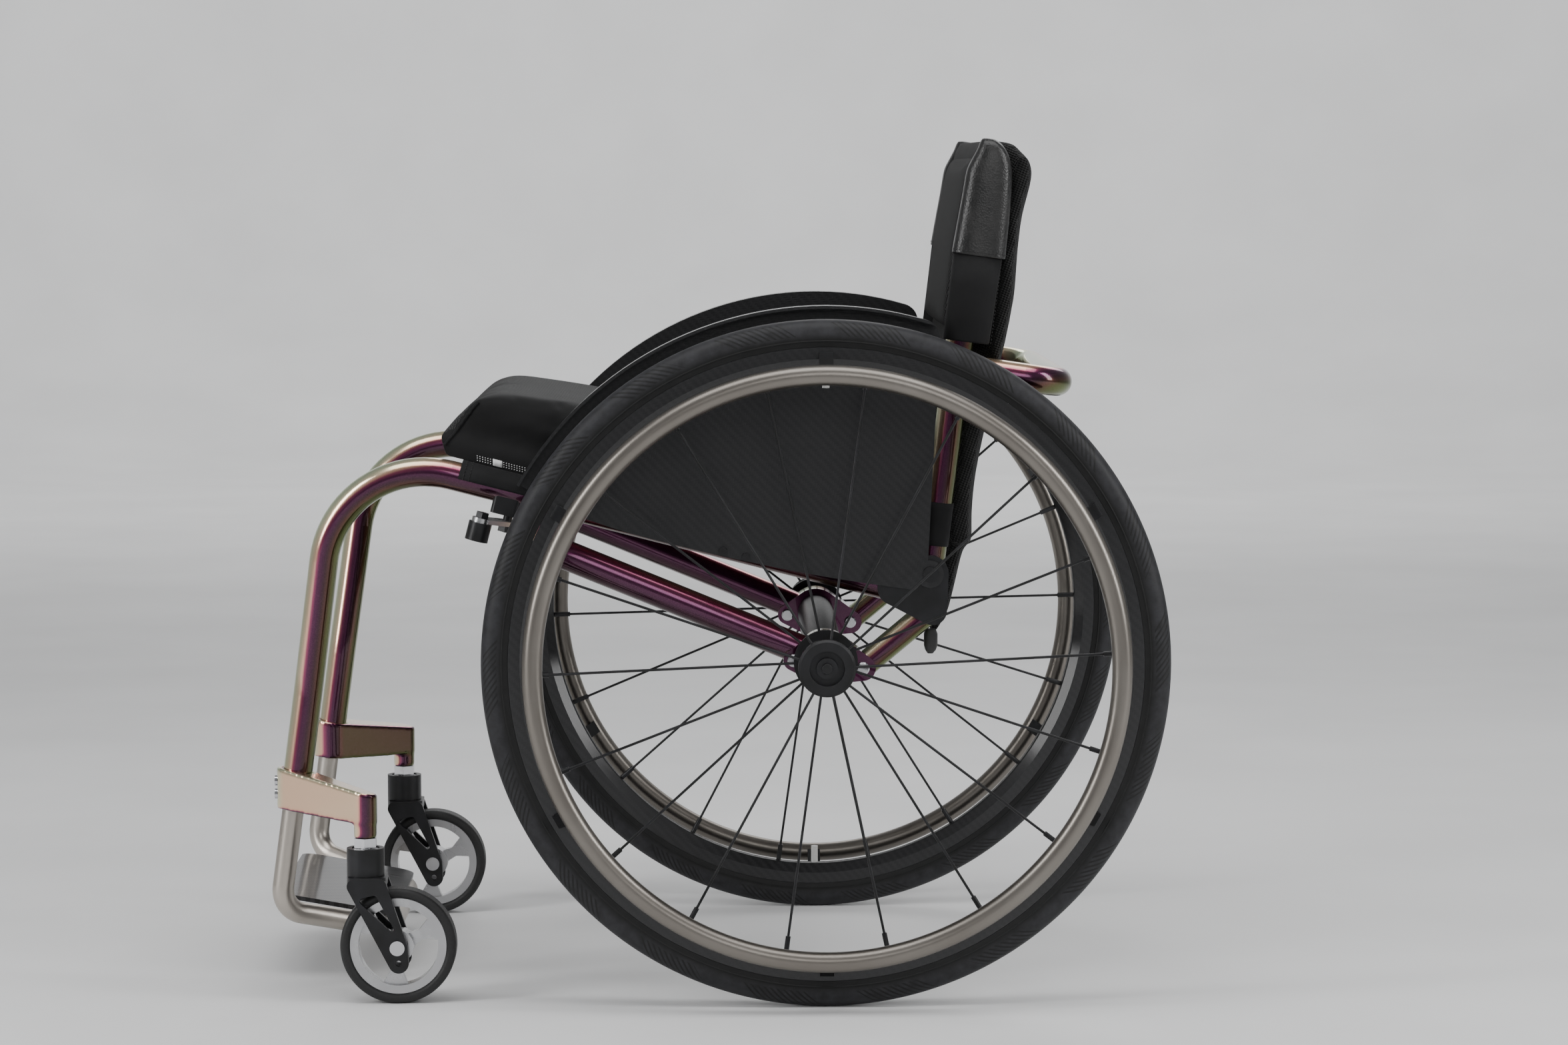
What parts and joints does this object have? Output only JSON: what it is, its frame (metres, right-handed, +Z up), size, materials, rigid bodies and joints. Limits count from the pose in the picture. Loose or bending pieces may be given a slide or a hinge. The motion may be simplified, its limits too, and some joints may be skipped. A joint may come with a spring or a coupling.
{
  "type": "manual wheelchair",
  "caption": "Rigid-frame manual wheelchair with quick-release spoked wheels and handrims, swivel casters, fold-down backrest, side guards, footrest and seat cushion.",
  "frame": {"origin": "on the floor, at the middle of the footprint and in the chair's middle plane", "axes": "+Z up, +Y to the rear, +X to the chair's left as it faces -Y"},
  "size_m": [0.6316, 0.7796, 0.7454],
  "materials": {
    "frame_paint": "gloss colour-shift paint",
    "satin_titanium": "bead-blasted",
    "black_anodised": "satin anodised",
    "silver_metal": "machined",
    "chrome_steel": "polished",
    "carbon": "satin woven laminate",
    "tyre_rubber": "fine tread",
    "caster_rubber": "moulded",
    "seat_fabric": "smooth coated cloth",
    "mesh_fabric": "spacer mesh",
    "leather": "soft black",
    "clear_plastic": "clear cap"
  },
  "bodies": {
    "frame": {"main_tubes": "frame_paint", "lower_tubes": "frame_paint", "axle_clamps": "frame_paint", "axle_tube": "black_anodised", "axle_receivers": "silver_metal", "clamp_bolts": "chrome_steel", "cross_tube": "black_anodised", "back_brackets": "black_anodised", "side_guards": "carbon", "guard_screws": "black_anodised", "pivot_bolts": "black_anodised", "seat_sling": "seat_fabric", "seat_cushion": "seat_fabric", "caster_arms": "frame_paint", "caster_stems": "chrome_steel", "stem_bearings": "silver_metal", "brake_clamps": "black_anodised"},
    "backrest": {"back_posts": "frame_paint", "rigidizer_bar": "frame_paint", "back_sling": "mesh_fabric", "back_cushion": "mesh_fabric", "post_caps": "leather", "post_sleeves": "seat_fabric"},
    "footrest": {"footrest_tube": "satin_titanium", "footplate": "carbon", "footplate_screws": "black_anodised"},
    "left_axle": {"left_axle_pin": "silver_metal"},
    "left_button": {"left_release_button": "chrome_steel"},
    "left_wheel": {"left_tyre": "tyre_rubber", "left_rim": "carbon", "left_hub": "black_anodised", "left_hub_bearings": "silver_metal", "left_spokes": "black_anodised", "left_handrim": "satin_titanium", "left_handrim_tabs": "black_anodised", "left_valve": "clear_plastic"},
    "left_fork": {"left_caster_fork": "black_anodised", "left_caster_axle_bolt": "chrome_steel"},
    "left_caster_wheel": {"left_caster_rim": "silver_metal", "left_caster_tyre": "caster_rubber", "left_caster_bearings": "silver_metal"},
    "left_brake": {"left_brake_arm": "silver_metal", "left_brake_shoe": "black_anodised"},
    "right_axle": {"right_axle_pin": "silver_metal"},
    "right_button": {"right_release_button": "chrome_steel"},
    "right_wheel": {"right_tyre": "tyre_rubber", "right_rim": "carbon", "right_hub": "black_anodised", "right_hub_bearings": "silver_metal", "right_spokes": "black_anodised", "right_handrim": "satin_titanium", "right_handrim_tabs": "black_anodised", "right_valve": "clear_plastic"},
    "right_fork": {"right_caster_fork": "black_anodised", "right_caster_axle_bolt": "chrome_steel"},
    "right_caster_wheel": {"right_caster_rim": "silver_metal", "right_caster_tyre": "caster_rubber", "right_caster_bearings": "silver_metal"},
    "right_brake": {"right_brake_arm": "silver_metal", "right_brake_shoe": "black_anodised"}
  },
  "joints": [
    {"name": "backrest_fold", "type": "hinge", "parent": "frame", "child": "backrest", "pos_m": [0, 0.18585, 0.368], "axis": [1, 0, 0], "range_deg": [0, 50]},
    {"name": "footrest_height", "type": "slide", "parent": "frame", "child": "footrest", "axis": [0, -0.1362, -0.9907], "range_m": [0, 0.03]},
    {"name": "left_axle_release", "type": "slide", "parent": "frame", "child": "left_axle", "axis": [1, 0, 0], "range_m": [0, 0.12]},
    {"name": "left_button_press", "type": "slide", "parent": "left_axle", "child": "left_button", "axis": [-1, 0, 0], "range_m": [0, 0.003], "stiffness_N_per_m": 600},
    {"name": "left_wheel_spin", "type": "hinge", "parent": "left_axle", "child": "left_wheel", "pos_m": [0.262, 0.09485, 0.295], "axis": [1, 0, 0], "continuous": true},
    {"name": "left_caster_swivel", "type": "hinge", "parent": "frame", "child": "left_fork", "pos_m": [0.233, -0.30215, 0.12], "axis": [0, 0, 1], "continuous": true},
    {"name": "left_caster_spin", "type": "hinge", "parent": "left_fork", "child": "left_caster_wheel", "pos_m": [0.233, -0.27415, 0.05], "axis": [1, 0, 0], "continuous": true},
    {"name": "left_brake_swing", "type": "hinge", "parent": "frame", "child": "left_brake", "pos_m": [0.202, -0.18011, 0.41255], "axis": [0, -0.2487, -0.9686], "range_deg": [0, 60]},
    {"name": "right_axle_release", "type": "slide", "parent": "frame", "child": "right_axle", "axis": [-1, 0, 0], "range_m": [0, 0.12]},
    {"name": "right_button_press", "type": "slide", "parent": "right_axle", "child": "right_button", "axis": [1, 0, 0], "range_m": [0, 0.003], "stiffness_N_per_m": 600},
    {"name": "right_wheel_spin", "type": "hinge", "parent": "right_axle", "child": "right_wheel", "pos_m": [-0.262, 0.09485, 0.295], "axis": [1, 0, 0], "continuous": true},
    {"name": "right_caster_swivel", "type": "hinge", "parent": "frame", "child": "right_fork", "pos_m": [-0.233, -0.30215, 0.12], "axis": [0, 0, 1], "continuous": true},
    {"name": "right_caster_spin", "type": "hinge", "parent": "right_fork", "child": "right_caster_wheel", "pos_m": [-0.233, -0.27415, 0.05], "axis": [1, 0, 0], "continuous": true},
    {"name": "right_brake_swing", "type": "hinge", "parent": "frame", "child": "right_brake", "pos_m": [-0.202, -0.18011, 0.41255], "axis": [0, 0.2487, 0.9686], "range_deg": [0, 60]}
  ]
}
